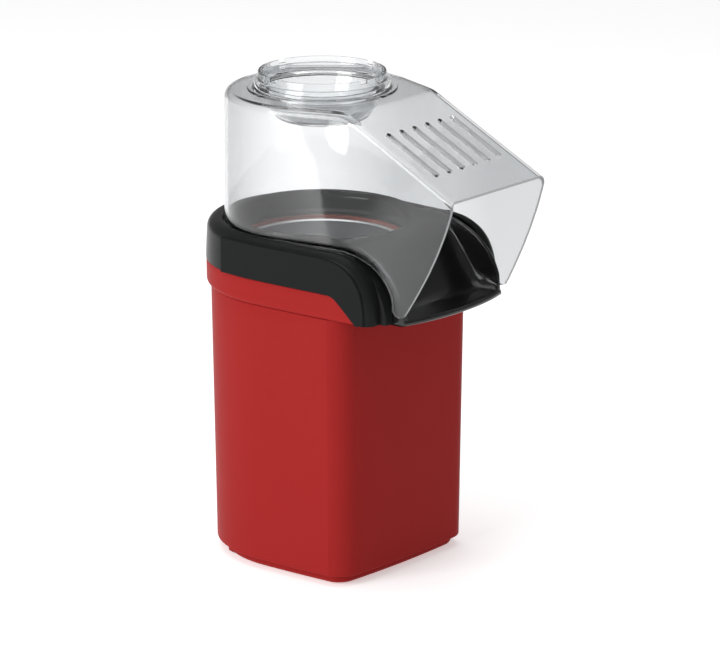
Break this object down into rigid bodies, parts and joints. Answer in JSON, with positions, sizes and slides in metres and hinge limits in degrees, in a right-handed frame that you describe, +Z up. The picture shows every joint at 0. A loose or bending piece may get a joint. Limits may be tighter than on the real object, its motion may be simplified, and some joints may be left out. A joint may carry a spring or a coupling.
{
  "type": "popcorn maker",
  "caption": "Hot-air popcorn maker with a flared red housing, black collar and chute, clear hooded cover, lift-out measuring cup, fan, heater and rear rocker switch.",
  "frame": {"origin": "centre of the overall box in plan, at the height of the surface the machine stands on", "axes": "+Z up, -Y out of the chute (front), +X to the right seen from the front"},
  "size_m": [0.1324, 0.2013, 0.29],
  "materials": {
    "housing_red": "moulded plastic with a soft sheen",
    "foot_rubber": "matt rubber",
    "zinc_steel": "zinc-plated steel",
    "collar_black": "black plastic, satin",
    "tray_black": "glossy black plastic",
    "clear_plastic": "clear moulded plastic",
    "chamber_aluminium": "spun aluminium",
    "seal_silicone": "silicone seal",
    "shield_steel": "galvanised sheet steel",
    "mica": "mica board",
    "heater_wire": "resistance wire",
    "phenolic_black": "moulded phenolic",
    "fuse_white": "white plastic or ceramic",
    "blower_plastic": "heat-proof moulded plastic",
    "fan_plastic": "white moulded plastic",
    "brass": "turned brass",
    "shaft_steel": "ground steel",
    "ferrite": "sintered ferrite",
    "core_steel": "laminated steel",
    "winding_copper": "enamelled copper",
    "carbon": "carbon",
    "board_green": "circuit board",
    "rocker_red": "red plastic"
  },
  "bodies": {
    "housing": {"lower_housing": "housing_red", "base_plate": "housing_red", "rubber_feet": "foot_rubber", "base_screws": "zinc_steel", "collar": "collar_black", "collar_screws": "zinc_steel", "chute_tray": "tray_black", "tray_screws": "zinc_steel", "popping_chamber": "chamber_aluminium", "chamber_seal": "seal_silicone", "chamber_screws": "zinc_steel", "heat_shield": "shield_steel", "mica_liner": "mica", "heater_base": "shield_steel", "mica_board_a": "mica", "mica_board_b": "mica", "heating_coils": "heater_wire", "thermostat": "phenolic_black", "thermal_fuse": "fuse_white", "blower_housing": "blower_plastic", "blower_screws": "zinc_steel", "motor_can": "shield_steel", "motor_end_cap": "phenolic_black", "motor_magnets": "ferrite", "motor_brushes": "carbon", "motor_bushes": "brass", "motor_screws": "zinc_steel", "rectifier_board": "board_green", "rectifier_diodes": "phenolic_black", "terminal_block": "fuse_white", "switch_body": "tray_black", "switch_terminals": "brass", "cord_gland": "tray_black"},
    "cover": {"clear_cover": "clear_plastic"},
    "cup": {"measuring_cup": "clear_plastic"},
    "rotor": {"motor_shaft": "shaft_steel", "fan": "fan_plastic", "fan_nut": "brass", "armature_core": "core_steel", "armature_windings": "winding_copper", "commutator": "winding_copper"},
    "rocker": {"switch_rocker": "rocker_red"}
  },
  "joints": [
    {"name": "cover_lift", "type": "slide", "parent": "housing", "child": "cover", "axis": [0, 0, 1], "range_m": [0, 0.06]},
    {"name": "cup_lift", "type": "slide", "parent": "cover", "child": "cup", "axis": [0, 0, 1], "range_m": [0, 0.04]},
    {"name": "rotor_spin", "type": "hinge", "parent": "housing", "child": "rotor", "pos_m": [0, 0.0297, 0.065], "axis": [0, 0, 1], "continuous": true},
    {"name": "rocker_tilt", "type": "hinge", "parent": "housing", "child": "rocker", "pos_m": [0, 0.0955, 0.038], "axis": [1, 0, 0], "range_deg": [0, 18]}
  ]
}
